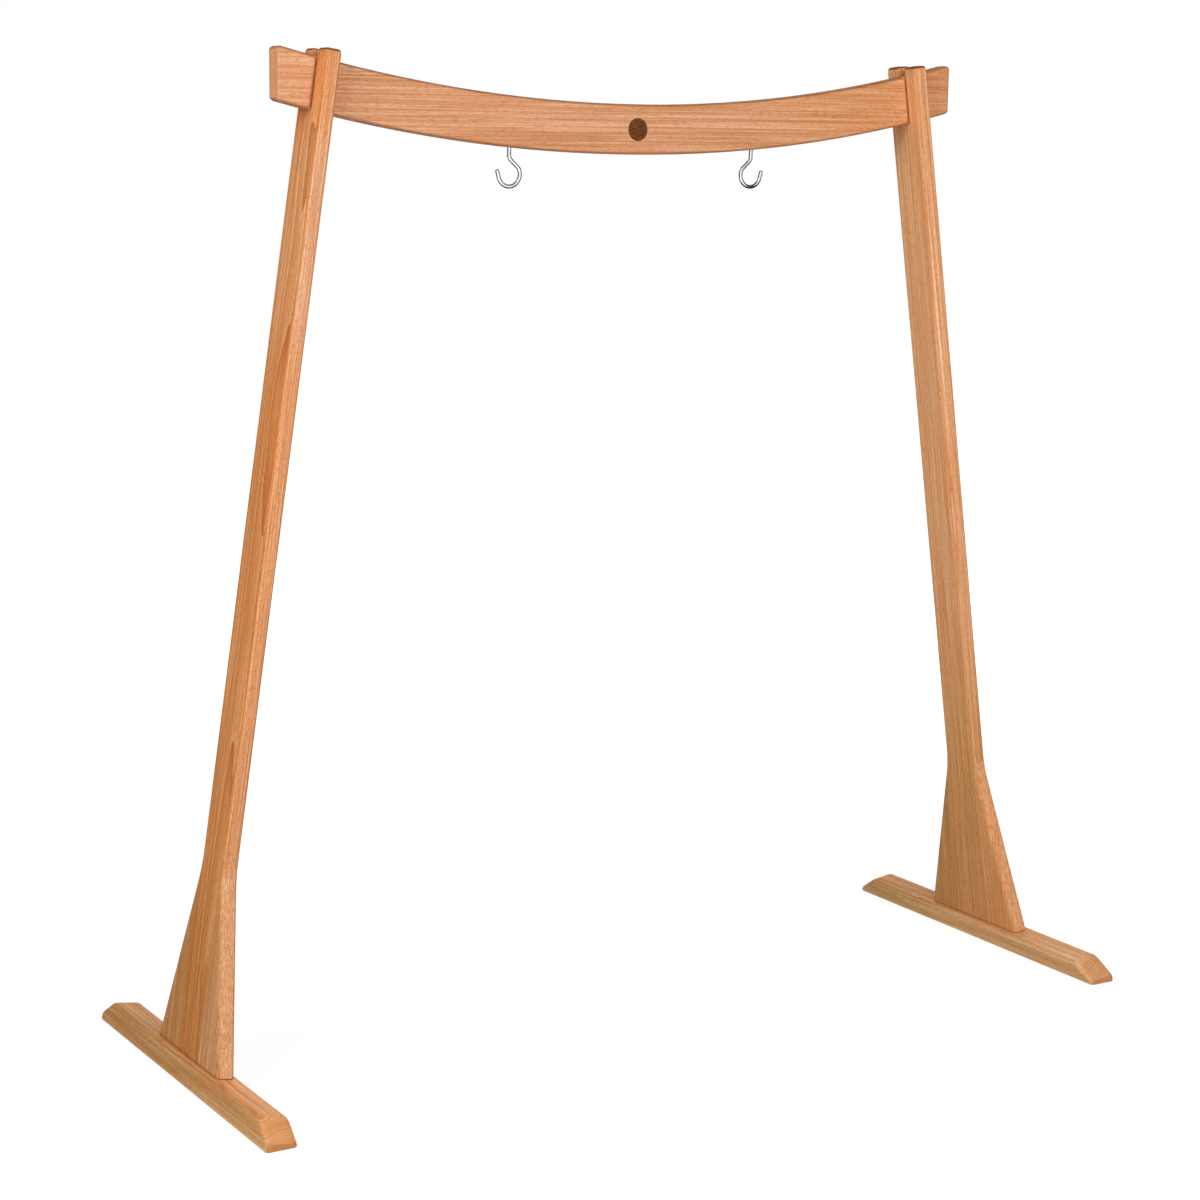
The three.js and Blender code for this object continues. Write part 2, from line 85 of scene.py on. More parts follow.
crossbar_overhang = 64 * mm
crossbar_thickness = 24 * mm
crossbar_height = 71 * mm
crossbar_top_radius = 2324 * mm
crossbar_middle_height = 1335.5 * mm
crossbar_corner_radius = 9 * mm
crossbar_edge_radius = 5 * mm
crossbar_end_edge_radius = 8 * mm
housing_edge_radius = 5 * mm
housing_corner = 8 * mm

inlay_diameter = 32 * mm
inlay_thickness = 2.7 * mm
inlay_gap = 0.12 * mm
inlay_ease = 0.25 * mm
inlay_crown = 0.03 * mm

hook_spacing = 407 * mm
hook_wire = 5.8 * mm
hook_ring_radius = 17.2 * mm
hook_drop = 36.8 * mm
hook_neck = 12 * mm
hook_shank = 32 * mm
hook_ring_start = math.radians(20)
hook_ring_end = math.radians(-165)
hook_tip = 11.5 * mm
hook_bend_share = 0.37

bolt_spacing = 124 * mm
bolt_diameter = 8 * mm
bolt_length = 40 * mm
bolt_head = 13 * mm
bolt_head_height = 8 * mm
bolt_bevel = 0.5 * mm
socket_width = 6 * mm
socket_depth = 4 * mm
bolted_wood = 14 * mm
washer_thickness = 1.6 * mm
counterbore = 18 * mm

clearance = 0.3 * mm
overrun = 5 * mm
hair = 0.02 * mm

# %% [markdown]
# ## Where the crossbar meets the legs
# The crossbar's top and underside are two arcs about one centre, high above the stand. A leg is a
# straight line that meets the lower arc, so the height of the fork's floor comes from a line and a
# circle. Each trestle gets its own frame: its origin is on top of the foot and its Z runs up the leg.
# The right trestle is the left one turned round, so its own Y runs towards the front.

# %% Places worked out from the sizes
sides = ("left", "right")
facings = ("front", "back")
underside_radius = crossbar_top_radius + crossbar_height
arch_centre_height = crossbar_middle_height + crossbar_top_radius


def underside_height(x):
    return arch_centre_height - math.sqrt(underside_radius ** 2 - x ** 2)


def own_y(side, facing):
    return 1 if (facing == "back") == (side == "left") else -1


leg_start = Vector((-leg_spread / 2, foot_height - arch_centre_height))
nearest = -leg_start.dot(Vector((math.sin(lean), math.cos(lean))))
seat_distance = nearest - math.sqrt(nearest ** 2 - leg_start.length_squared + underside_radius ** 2)
leg_length = seat_distance - clearance + fork_slot_depth
seat_reach = leg_spread / 2 - seat_distance * math.sin(lean)
seat_tilt = lean - math.asin(seat_reach / underside_radius)
crossbar_half = seat_reach + crossbar_overhang

leaning = Matrix.Rotation(lean, 4, "Y")
half_turn = Matrix.Rotation(math.pi, 4, "Z")
trestle_frame = {
    "left": Matrix.Translation((-leg_spread / 2, 0, foot_height)) @ leaning,
    "right": Matrix.Translation((leg_spread / 2, 0, foot_height)) @ half_turn @ leaning,
}
print("leg length", round(leg_length, 4), "crossbar half", round(crossbar_half, 4))

# %% [markdown]
# ## Camera
# The photograph looks down a little from the front left. The lens is long, so the near foot and the
# far foot differ only a little in scale.

# %% Camera


def place_in_scene(name, data):
    made = bpy.data.objects.new(name, data)
    bpy.context.scene.collection.objects.link(made)
    return made


camera_place = Vector((-1.9948, -3.2240, 1.2830))
camera_yaw = math.radians(31.138)
camera_dip = math.radians(9.989)
camera_roll = math.radians(0.664)
camera_lens = 78.14

camera_data = bpy.data.cameras.new("Camera")
camera_data.sensor_width = 36
camera_data.lens = camera_lens
camera_data.clip_end = 100
camera = place_in_scene("Camera", camera_data)
turn = Matrix.Rotation(-camera_yaw, 3, "Z") @ Matrix.Rotation(math.pi / 2 - camera_dip, 3, "X")
turn = turn @ Matrix.Rotation(camera_roll, 3, "Z")
camera.matrix_world = Matrix.Translation(camera_place) @ turn.to_4x4()
bpy.context.scene.camera = camera
print("camera at", tuple(round(v, 3) for v in camera_place))

# %% [markdown]
# ## Helpers for node trees
# A material is a tree of nodes. A few short functions make a node, feed its inputs and hand back its
# result, so that the recipes below read like sums.

# %% Small helpers for node trees


def feed(tree, socket, value):
    if isinstance(value, bpy.types.NodeSocket):
        tree.links.new(value, socket)
    else:
        socket.default_value = value


def new_node(tree, kind, inputs=(), **settings):
    node = tree.nodes.new(kind)
    for name, value in settings.items():
        setattr(node, name, value)
    for name, value in dict(inputs).items():
        feed(tree, node.inputs[name], value)
    return node


def add_sockets(tree, in_out, **kinds):
    for kind, labels in kinds.items():
        for label in labels:
            tree.interface.new_socket(label, in_out=in_out, socket_type=f"NodeSocket{kind}")


def calc(tree, operation, *values):
    return new_node(tree, "ShaderNodeMath", enumerate(values), operation=operation).outputs[0]


def vector_calc(tree, operation, *values):
    node = new_node(tree, "ShaderNodeVectorMath", enumerate(values), operation=operation)
    return node.outputs["Value" if operation in {"DOT_PRODUCT", "LENGTH"} else "Vector"]


def times(tree, *values):
    return calc(tree, "MULTIPLY", *values)


def join_vector(tree, *parts):
    return new_node(tree, "ShaderNodeCombineXYZ", enumerate(parts)).outputs[0]


def split_vector(tree, vector):
    return list(new_node(tree, "ShaderNodeSeparateXYZ", {0: vector}).outputs)


def remap(tree, value, low, high, to_low=0.0, to_high=1.0):
    inputs = {"Value": value, "From Min": low, "From Max": high, "To Min": to_low, "To Max": to_high}
    return new_node(tree, "ShaderNodeMapRange", inputs, interpolation_type="SMOOTHSTEP").outputs["Result"]


def noise(tree, vector, scale=1.0, detail=2.0, roughness=0.5):
    inputs = {"Vector": vector, "Scale": scale, "Detail": detail, "Roughness": roughness}
    return new_node(tree, "ShaderNodeTexNoise", inputs).outputs["Fac"]


def grain(tree, place, stretch, detail=2.0, roughness=0.5):
    return noise(tree, vector_calc(tree, "MULTIPLY", place, stretch), detail=detail, roughness=roughness)


def mix_colour(tree, share, first, second, blend="MIX"):
    inputs = {"Factor": share, "A": first, "B": second}
    node = new_node(tree, "ShaderNodeMix", inputs, data_type="RGBA", blend_type=blend)
    return next(output for output in node.outputs if output.type == "RGBA")


def bumps(tree, height, strength, depth):
    inputs = {"Height": height, "Strength": strength, "Distance": depth}
    return new_node(tree, "ShaderNodeBump", inputs).outputs[0]


def seen_by(tree, *kinds):
    rays = new_node(tree, "ShaderNodeLightPath").outputs
    seen = rays[kinds[0]]
    for kind in kinds[1:]:
        seen = calc(tree, "MAXIMUM", seen, rays[kind])
    return seen


def show(tree, shader, output="ShaderNodeOutputMaterial"):
    new_node(tree, output, {"Surface": shader.outputs[0]})


def linear(hex_colour):
    parts = [int(hex_colour[i:i + 2], 16) / 255 for i in (1, 3, 5)]
    return [p / 12.92 if p <= 0.04045 else ((p + 0.055) / 1.055) ** 2.4 for p in parts] + [1.0]


def new_material(name):
    material = bpy.data.materials.new(name)
    material.use_nodes = True
    material.node_tree.nodes.clear()
    return material, material.node_tree


def one_face(name, centre, across, up, material):
    corners = [centre - across - up, centre + across - up, centre + across + up, centre - across + up]
    mesh = bpy.data.meshes.new(name)
    mesh.from_pydata(corners, [], [(0, 1, 2, 3)])
    mesh.materials.append(material)
    return place_in_scene(name, mesh)


# %% [markdown]
# ## Floor, world and lamps
# The stand was photographed on white. A plain pale floor keeps the shadow under the feet. It glows a
# little for the camera and for mirrored rays only, more so far out, and lights nothing.

# %% Floor and world
white = (1, 1, 1, 1)
floor_half = 12.0
floor_grey = (0.7, 0.7, 0.7, 1)
glow_share = 0.5
glow_starts, glow_ends = 1.2, 4.5
glow_near, glow_far = 1.6, 2.1

floor_material, tree = new_material("floor")
seen = seen_by(tree, "Is Camera Ray", "Is Glossy Ray")
diffuse = new_node(tree, "ShaderNodeBsdfDiffuse", {"Color": floor_grey})
distance = vector_calc(tree, "LENGTH", new_node(tree, "ShaderNodeTexCoord").outputs["Object"])
strength = remap(tree, distance, glow_starts, glow_ends, glow_near, glow_far)
glow = new_node(tree, "ShaderNodeEmission", {"Color": white, "Strength": strength})
blend = {0: times(tree, seen, glow_share), 1: diffuse.outputs[0], 2: glow.outputs[0]}
show(tree, new_node(tree, "ShaderNodeMixShader", blend))
floor_x, floor_y = Vector((floor_half, 0, 0)), Vector((0, floor_half, 0))
floor = one_face("floor", Vector(), floor_x, floor_y, floor_material)

ambient = 0.14
world = bpy.data.worlds.new("studio")
bpy.context.scene.world = world
world.use_nodes = True
tree = world.node_tree
tree.nodes.clear()
seen = seen_by(tree, "Is Camera Ray", "Is Glossy Ray", "Is Transmission Ray")
strength = calc(tree, "MULTIPLY_ADD", seen, 1 - ambient, ambient)
background = new_node(tree, "ShaderNodeBackground", {"Color": white, "Strength": strength})
show(tree, background, "ShaderNodeOutputWorld")
bpy.context.scene.view_settings.view_transform = "Standard"
print("floor", floor_half * 2, "m wide")

# %% [markdown]
# The lamps are large and soft. One stands straight in front at the height of the crossbar and one far
# to the left, so the fronts are bright, the faces that look left a little darker, and the tone falls off
# downwards. A third stands behind on the right, for the faces that the photograph does not show. The
# metal mirrors the white room and not the lamps, which would burn out its thin outlines.

# %% Lamps
lamp_aim = Vector((0, 0, 0.9))
lamp_size = 2.0

for name, place, power in (
        ("left_lamp", (-3.15, -1.27, 2.4), 81),
        ("front_lamp", (0.0, -3.4, 1.9), 86),
        ("back_lamp", (2.3, 3.0, 1.7), 80)):
    data = bpy.data.lights.new(name, "AREA")
    data.size = lamp_size
    data.energy = power
    lamp = place_in_scene(name, data)
    lamp.location = place
    lamp.rotation_euler = (lamp_aim - Vector(place)).to_track_quat("-Z", "Y").to_euler()
    lamp.visible_glossy = False

# %% [markdown]
# Bright metal on white has no edges of its own. A photographer stands dark boards beside it, out of the
# picture, and the metal mirrors them as dark lines. These boards are seen by mirrored rays only. How
# near each one comes to the camera sets how wide its dark line is on the wire.

# %% Dark boards for the metal to mirror
board_paint, tree = new_material("dark studio board")
show(tree, new_node(tree, "ShaderNodeBsdfDiffuse", {"Color": (0.02, 0.02, 0.02, 1)}))


def dark_board(name, centre, across, up):
    board = one_face(name, centre, across, up, board_paint)
    board.visible_camera = False
    board.visible_diffuse = False
    board.visible_transmission = False
    board.visible_shadow = False


look = Vector((math.sin(camera_yaw), math.cos(camera_yaw), 0))
aside = Vector((look.y, -look.x, 0))
upright = Vector((0, 0, 1))
board_gap = 2.2
board_far_end = 6.0
board_half_width = 2.3
for side, sign, near_end in (("left", -1, -2.2), ("right", 1, -1.15)):
    half_length = (board_far_end - near_end) / 2
    centre = aside * sign * board_gap + look * (near_end + half_length) + upright * 1.5
    dark_board(f"board_{side}", centre, look * half_length, upright * 1.45)
for side, middle, height, half_length in (("above", 2.4, 3.4, 3.9), ("below", 2.7, 5 * mm, 3.5)):
    centre = look * middle + upright * height
    dark_board(f"board_{side}", centre, look * half_length, aside * board_half_width)

# %% [markdown]
# ## Beech
# Beech has a close, even grain: faint growth rings, and rays. A ray is a thin sheet of cells that runs
# out from the heart of the tree. Where a face cuts the rays' ends, they are short dark flecks along the
# grain; where a face runs with them, they are pale, glossy flakes. So the wood is made as a solid, in
# rings about a heart outside the board, and each face of a board shows what it would show. The board's
# own frame has Z along the grain, so one recipe serves for posts, feet and bar. Stains are laid over each
# other, each with its share and its colour. Three of them paint shade: the rim stain on the rounded edges,
# the seam stain where a leg or gusset stands on its foot, and the end stain. The end stain darkens end grain,
# and where it is set strong on the legs it also paints shade on the tine tops. Last comes the tone, which
# may differ on a board's sides, at its low end and high up. The side tone is painted shade and light on the
# faces that look sideways. The low tone is painted shade towards the legs' base and the feet's back ends, and
# it shifts the bar's colour along its length. The high tone is a painted highlight high on a leg.

# %% The beech recipe
# The end colour darkens end grain, and it also paints shade on rounded edges and on tine tops. The seam
# colour paints contact shade.
wood_colours = {
    "light": linear("#F8BE84"),
    "middle": linear("#EC9E60"),
    "ring": linear("#BC6C30"),
    "fleck": linear("#84441C"),
    "flake": linear("#FFD2A0"),
    "end": linear("#945222"),
    "seam": linear("#4A2A14"),
}
ray_depth = 16 * mm
ray_thickness = 1.3 * mm
ray_length = 3.4 * mm
low_tone_fade = 0.32
# The high tone is a painted highlight: a paler, bluer band high up a leg.
high_tone_begins = (0.9, 1.1)
high_tone_ends = (1.3, 1.24)
seam_shade_fade = (1.7 * mm, 0.9 * mm)


def growth_rings(tree, given, from_heart):
    x, y, z = split_vector(tree, from_heart)
    wander = calc(tree, "SUBTRACT", grain(tree, from_heart, (7.0, 7.0, 1.5), detail=3.0), 0.5)
    radius = vector_calc(tree, "LENGTH", join_vector(tree, x, y, 0.0))
    radius = calc(tree, "ADD", radius, times(tree, wander, given["Figure"]))
    turns = calc(tree, "DIVIDE", radius, given["Ring Width"])
    step = calc(tree, "FRACT", turns)
    each = new_node(tree, "ShaderNodeTexWhiteNoise", {"W": calc(tree, "FLOOR", turns)}, noise_dimensions="1D")
    clear = calc(tree, "MULTIPLY_ADD", each.outputs["Value"], 0.75, 0.2)
    late = times(tree, calc(tree, "POWER", step, 5.0), clear)
    young = calc(tree, "POWER", calc(tree, "SUBTRACT", 1.0, step), 4.5)
    young = times(tree, young, times(tree, clear, given["Lines"]))
    bands = noise(tree, join_vector(tree, times(tree, radius, 95.0), 0.0, times(tree, z, 1.2)))
    bands = remap(tree, bands, 0.2, 0.8, -0.35, 0.35)
    return late, young, calc(tree, "MULTIPLY_ADD", bands, given["Bands"], 0.5)


def wood_rays(tree, given):
    x, y, z = split_vector(tree, vector_calc(tree, "SUBTRACT", given["Place"], given["Rays"]))
    across = join_vector(tree, x, y, 0.0)
    reach = vector_calc(tree, "LENGTH", vector_calc(tree, "MULTIPLY", given["Rays"], (1.0, 1.0, 0.0)))
    arc = times(tree, calc(tree, "ARCTAN2", y, x), reach)
    sizes = ((vector_calc(tree, "LENGTH", across), ray_depth), (arc, ray_thickness), (z, ray_length))
    cell = join_vector(tree, *(calc(tree, "DIVIDE", value, size) for value, size in sizes))
    cells = new_node(tree, "ShaderNodeTexVoronoi", {"Vector": cell, "Scale": 1.0}, feature="F1").outputs
    kept = new_node(tree, "ShaderNodeSeparateColor", {0: cells["Color"]}).outputs[0]
    ray = times(tree, remap(tree, cells["Distance"], 0.42, 0.14), remap(tree, kept, -0.2, 0.8))
    outward = vector_calc(tree, "NORMALIZE", across)
    flat_sawn = calc(tree, "ABSOLUTE", vector_calc(tree, "DOT_PRODUCT", given["Facing"], outward))
    return ray, remap(tree, flat_sawn, 0.35, 0.9)


def beech_recipe():
    tree = bpy.data.node_groups.new("Beech", "ShaderNodeTree")
    add_sockets(tree, "INPUT", Vector=("Place", "Facing", "Heart", "Rays"),
                Float=("Ring Width", "Figure", "Bands", "Lines", "End", "Rim", "Seam", "Low From"),
                Color=("Tone", "Side Tone", "Low Tone", "High Tone"))
    add_sockets(tree, "OUTPUT", Color=["Color"], Float=["Roughness", "Height"])
    given = new_node(tree, "NodeGroupInput").outputs
    from_heart = vector_calc(tree, "SUBTRACT", given["Place"], given["Heart"])
    late, young, bands = growth_rings(tree, given, from_heart)
    ray, flat_sawn = wood_rays(tree, given)
    fibres = grain(tree, from_heart, (1100.0, 1100.0, 60.0), detail=3.0, roughness=0.6)
    streaks = grain(tree, from_heart, (420.0, 420.0, 4.5), detail=4.0, roughness=0.6)
    dashes = grain(tree, from_heart, (600.0, 600.0, 120.0), detail=1.0)
    patches = grain(tree, from_heart, (22.0, 22.0, 3.0))

    facing = split_vector(tree, given["Facing"])
    square_x, square_y, square_z = [calc(tree, "ABSOLUTE", part) for part in facing]
    end_grain = remap(tree, square_z, 0.3, 0.85)
    lengthwise = remap(tree, square_z, 0.5, 0.2)
    flattest = calc(tree, "MAXIMUM", calc(tree, "MAXIMUM", square_x, square_y), square_z)
    ray = times(tree, ray, lengthwise)
    fleck = times(tree, times(tree, ray, flat_sawn), 0.45)
    flake = times(tree, times(tree, ray, calc(tree, "SUBTRACT", 1.0, flat_sawn)), 0.18)
    colour = mix_colour(tree, bands, wood_colours["light"], wood_colours["middle"])
    for share, stain in (
            (remap(tree, patches, 0.35, 0.75, 0.0, 0.25), "ring"),
            (late, "ring"),
            (young, "flake"),
            (times(tree, remap(tree, streaks, 0.4, 0.66, 0.0, 0.45), lengthwise), "ring"),
            (times(tree, remap(tree, streaks, 0.5, 0.32, 0.0, 0.4), lengthwise), "flake"),
            (times(tree, remap(tree, dashes, 0.5, 0.72, 0.0, 0.4), lengthwise), "ring"),
            (remap(tree, fibres, 0.42, 0.75, 0.0, 0.35), "ring"),
            # Painted shade: the rim stain darkens every rounded edge, as edges turned from the light would
            # look. The bar gets the most of it.
            (times(tree, remap(tree, flattest, 0.985, 0.85), given["Rim"]), "end"),
            (fleck, "fleck"),
            (flake, "flake"),
            # End grain is darker. Where End is set far above one, as on the legs, this stain also paints
            # shade on the tine tops.
            (times(tree, end_grain, given["End"]), "end")):
        colour = mix_colour(tree, share, colour, wood_colours[stain])

    along = split_vector(tree, given["Place"])[2]
    low_end = calc(tree, "SUBTRACT", given["Low From"], low_tone_fade)
    for share, tone in (
            (1.0, "Tone"),
            # Painted shade and light: the side tone recolours the faces that look sideways, apart from the
            # fronts.
            (remap(tree, square_x, 0.3, 0.85), "Side Tone"),
            # Painted shade: the low tone darkens the legs towards their base and sets the feet darker at
            # their back ends than at the front. On the bar it shifts the colour along its length.
            (remap(tree, along, given["Low From"], low_end), "Low Tone"),
            # Painted highlight: the high tone pales a band high up the board. The left leg uses it.
            (times(tree, remap(tree, along, *high_tone_begins), remap(tree, along, *high_tone_ends)),
             "High Tone")):
        colour = mix_colour(tree, share, colour, given[tone], blend="MULTIPLY")
    # Painted contact shade: a dark line along the bottom of a leg or gusset, where it stands on its foot.
    seam = times(tree, remap(tree, along, *seam_shade_fade), given["Seam"])
    colour = mix_colour(tree, seam, colour, wood_colours["seam"])

    roughness = calc(tree, "MULTIPLY_ADD", fibres, 0.16, 0.42)
    roughness = calc(tree, "MULTIPLY_ADD", flake, -0.25, roughness)
    roughness = calc(tree, "MULTIPLY_ADD", end_grain, 0.15, roughness)
    height = calc(tree, "MULTIPLY_ADD", fibres, 0.6, times(tree, late, -0.4))
    height = calc(tree, "MULTIPLY_ADD", fleck, -0.7, height)
    new_node(tree, "NodeGroupOutput", {"Color": colour, "Roughness": roughness, "Height": height})
    return tree


beech = beech_recipe()
print("beech recipe has", len(beech.nodes), "nodes")

# %% [markdown]
# A board takes the recipe in its own frame: where it lies, how it is turned, and where the heart of its
# tree was. Boards from different trees differ a little in tone, as the pale gussets do. What a board
# doesn't ask for, it takes from the plain board.

# %% Wood for one board
untinted = (1, 1, 1)
plain_board = {"ring_width": 4 * mm, "figure": 14 * mm, "bands": 1.0, "lines": 0.75, "end": 0.4, "rim": 0.2,
               "seam": 0.0, "low_from": 0.42, "side_tone": untinted, "low_tone": untinted,
               "high_tone": untinted}


def beech_board(name, board_frame, heart, **wishes):
    material, tree = new_material(name)
    coordinates = new_node(tree, "ShaderNodeTexCoord").outputs
    turned_by = {"Rotation": board_frame.to_euler()}
    place = {"Vector": coordinates["Object"], "Location": board_frame.to_translation(), **turned_by}
    facing = {"Vector": coordinates["Normal"], **turned_by}
    inputs = {"Place": new_node(tree, "ShaderNodeMapping", place, vector_type="TEXTURE").outputs[0],
              "Facing": new_node(tree, "ShaderNodeMapping", facing, vector_type="TEXTURE").outputs[0]}
    for label, value in {**plain_board, "heart": heart, "rays": heart, **wishes}.items():
        inputs[label.replace("_", " ").title()] = (*value, 1) if label.endswith("tone") else value
    recipe = new_node(tree, "ShaderNodeGroup", inputs, node_tree=beech).outputs
    show(tree, new_node(tree, "ShaderNodeBsdfPrincipled", {
        "Specular IOR Level": 0.22, "Base Color": recipe["Color"], "Roughness": recipe["Roughness"],
        "Normal": bumps(tree, recipe["Height"], 0.35, 0.15 * mm)}))
    return material


along_y = Matrix.Rotation(-math.pi / 2, 4, "X")
along_x = Matrix.Rotation(math.pi / 2, 4, "Y")
bar_frame = Matrix.Translation((0, 0, crossbar_middle_height)) @ along_x
board_wood = {
    # The legs' strong End paints shade on the tops of the tines, over their darker end grain.
    "left_leg_post": beech_board(
        "left leg beech", trestle_frame["left"], (0.055, -0.028, 0), rays=(0.045, 0.075, 0),
        ring_width=4.8 * mm, figure=34 * mm, lines=1.6, end=6.0, rim=0.3, seam=0.85, tone=(0.84, 0.785, 0.81),
        side_tone=(1.09, 0.96, 0.72), low_tone=(0.87, 0.86, 0.72), high_tone=(1.065, 1.22, 1.54)),
    "right_leg_post": beech_board(
        "right leg beech", trestle_frame["right"], (-0.05, -0.08, 0.4), end=3.0, rim=0.25, seam=0.85,
        tone=(0.99, 1.08, 1.35), side_tone=(1.02, 0.99, 0.89), low_tone=(0.84, 0.80, 0.60), low_from=0.55),
    "left_foot": beech_board(
        "left foot beech", trestle_frame["left"] @ along_y, (0.02, 0.11, 0.2), ring_width=2.6 * mm, end=0.6,
        rim=0.05, tone=(0.905, 0.89, 0.84), side_tone=(0.855, 0.945, 0.885), low_tone=(1.13, 1.165, 1.25),
        low_from=0.18),
    # The right foot's tone is raised and paled: painted light, standing in for light thrown up from a white
    # floor.
    "right_foot": beech_board(
        "right foot beech", trestle_frame["right"] @ along_y, (-0.03, 0.12, 0.7), ring_width=2.6 * mm,
        end=0.55, rim=0.05, tone=(1.03, 1.13, 1.30), side_tone=(0.935, 1.05, 1.05),
        low_tone=(0.885, 0.866, 0.752), low_from=0.14),
    "crossbar": beech_board(
        "crossbar beech", bar_frame, (0.10, 0.03, 0.3), ring_width=2.7 * mm, figure=7 * mm, bands=0.6,
        end=0.0, rim=0.45, tone=(0.82, 0.785, 0.85), low_tone=(0.955, 1.04, 1.23)),
}
gusset_tone = {("left", "front"): (0.86, 0.91, 1.08), ("left", "back"): (0.75, 0.79, 0.82),
               ("right", "front"): (0.94, 0.94, 1.01), ("right", "back"): (0.73, 0.76, 0.76)}
for (side, facing), tone in gusset_tone.items():
    sign = -1 if facing == "front" else 1
    board_wood[f"{side}_{facing}_gusset"] = beech_board(
        f"{side} {facing} gusset beech", trestle_frame[side], (0.16, 0.05 * sign, 0.3 * sign),
        rays=(0.03 * sign, 0.14, 0.1), ring_width=3 * mm, seam=0.85, tone=tone, side_tone=(0.99, 0.97, 0.8))
print("boards", len(board_wood))

# %% [markdown]
# ## Plated steel and dark wood
# The hooks are bent wire with a bright plating: smooth, with faint drawing lines round the wire. The
# bolts under the feet have a duller zinc. The inlay is a plug of dark, open-pored wood with its grain
# across the crossbar's face.

# %% Metal and inlay finishes


def plated_steel(name, colour, low, high):
    material, tree = new_material(name)
    place = new_node(tree, "ShaderNodeTexCoord").outputs["Object"]
    cloud = noise(tree, place, scale=260.0, detail=3.0)
    lines = grain(tree, place, (900.0, 900.0, 2600.0))
    shaded = [part * 0.72 for part in colour[:3]] + [1]
    show(tree, new_node(tree, "ShaderNodeBsdfPrincipled", {
        "Metallic": 1.0,
        "Base Color": mix_colour(tree, remap(tree, cloud, 0.3, 0.7, 0.0, 0.12), colour, shaded),
        "Roughness": remap(tree, cloud, 0.3, 0.75, low, high),
        "Normal": bumps(tree, lines, 0.06, 0.03 * mm)}))
    return material


def dark_plug_wood():
    material, tree = new_material("dark inlay wood")
    place = new_node(tree, "ShaderNodeTexCoord").outputs["Object"]
    figure = grain(tree, place, (90.0, 500.0, 650.0), detail=4.0, roughness=0.65)
    pore = remap(tree, grain(tree, place, (420.0, 3000.0, 3400.0), detail=1.0), 0.36, 0.28)
    colour = mix_colour(tree, remap(tree, figure, 0.3, 0.7), linear("#7C4927"), linear("#3A1D0B"))
    show(tree, new_node(tree, "ShaderNodeBsdfPrincipled", {
        "Specular IOR Level": 0.15,
        "Base Color": mix_colour(tree, times(tree, pore, 0.7), colour, linear("#1E0E07")),
        "Roughness": calc(tree, "MULTIPLY_ADD", pore, 0.3, 0.42),
        "Normal": bumps(tree, calc(tree, "SUBTRACT", figure, pore), 0.4, 0.1 * mm)}))
    return material


bright_steel = plated_steel("bright plated steel", linear("#F2F4F5"), 0.03, 0.07)
zinc_steel = plated_steel("zinc plated steel", linear("#B4B8BB"), 0.28, 0.45)
inlay_wood = dark_plug_wood()
dowel_wood = beech_board("dowel beech", trestle_frame["left"], (0.01, 0.02, 0), tone=(1.05, 1.1, 1.12))
print("finishes", [m.name for m in bpy.data.materials if m.users])

# %% [markdown]
# ## Shaping helpers
# A board with rounded edges is a row of outlines skinned together, like ribs under planking. Cuts such
# as the fork's slot are made with solid cutters, as a saw or router would. At the end, edges sharper
# than a set angle stay crisp and the rest is shaded smooth, with large flat faces kept flat.

# %% Skins, cuts and finishing
crease = math.radians(32)
corner_steps = 8
weld = 0.001 * mm


def shares(count):
    return [step / count for step in range(count + 1)]


quarter_turn = [share * math.pi / 2 for share in shares(corner_steps)]


def open_mesh(made, distance):
    shape = bmesh.new()
    shape.from_mesh(made.data)
    bmesh.ops.remove_doubles(shape, verts=shape.verts, dist=distance)
    return shape


def close_mesh(shape, mesh):
    shape.to_mesh(mesh)
    shape.free()


def skin(name, rows):
    shape = bmesh.new()
    rings = [[shape.verts.new(point) for point in row] for row in rows]
    for low, high in zip(rings, rings[1:]):
        for i in range(len(low)):
            j = (i + 1) % len(low)
            shape.faces.new((low[i], low[j], high[j], high[i]))
    shape.faces.new(rings[0][::-1])
    shape.faces.new(rings[-1])
    bmesh.ops.recalc_face_normals(shape, faces=shape.faces)
    mesh = bpy.data.meshes.new(name)
    close_mesh(shape, mesh)
    return place_in_scene(name, mesh)


def as_mesh(made):
    evaluated = made.evaluated_get(bpy.context.evaluated_depsgraph_get())
    return bpy.data.meshes.new_from_object(evaluated)


def settle(made):
    mesh = as_mesh(made)
    made.modifiers.clear()
    made.data = mesh
    return made


def carve(made, cutters, operation="DIFFERENCE"):
    for cutter in cutters:
        step = made.modifiers.new("cut", "BOOLEAN")
        step.object = cutter
        step.operation = operation
        step.solver = "EXACT"
    settle(made)
    for cutter in cutters:
        bpy.data.objects.remove(cutter)
    return made


def move_points(made, matrix):
    made.data.transform(matrix)
    return made


def finish_piece(made, name, material, body, node=None):
    made.name = name
    made.data.name = name
    made.data.shade_smooth()
    made.data.set_sharp_from_angle(angle=crease)
    made.modifiers.new("flat faces", "WEIGHTED_NORMAL").keep_sharp = True
    settle(made)
    made.data.materials.clear()
    made.data.materials.append(material)
    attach(made, body)
    if node:
        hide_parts(node)
    print(name, len(made.data.polygons), "faces")
    return made


def rounded_rectangle(half_x, half_y, radius):
    points = []
    for quarter, (sign_x, sign_y) in enumerate(((1, 1), (-1, 1), (-1, -1), (1, -1))):
        for angle in quarter_turn:
            angle += quarter * math.pi / 2
            points.append((sign_x * (half_x - radius) + radius * math.cos(angle),
                           sign_y * (half_y - radius) + radius * math.sin(angle)))
    return points


def round_over(radius, distance):
    into = min(max(distance, 0), radius)
    return radius - math.sqrt(radius ** 2 - into ** 2)


def prism(outline, low, high):
    return skin("prism", [[(x, y, z) for x, y in outline] for z in (low, high)])


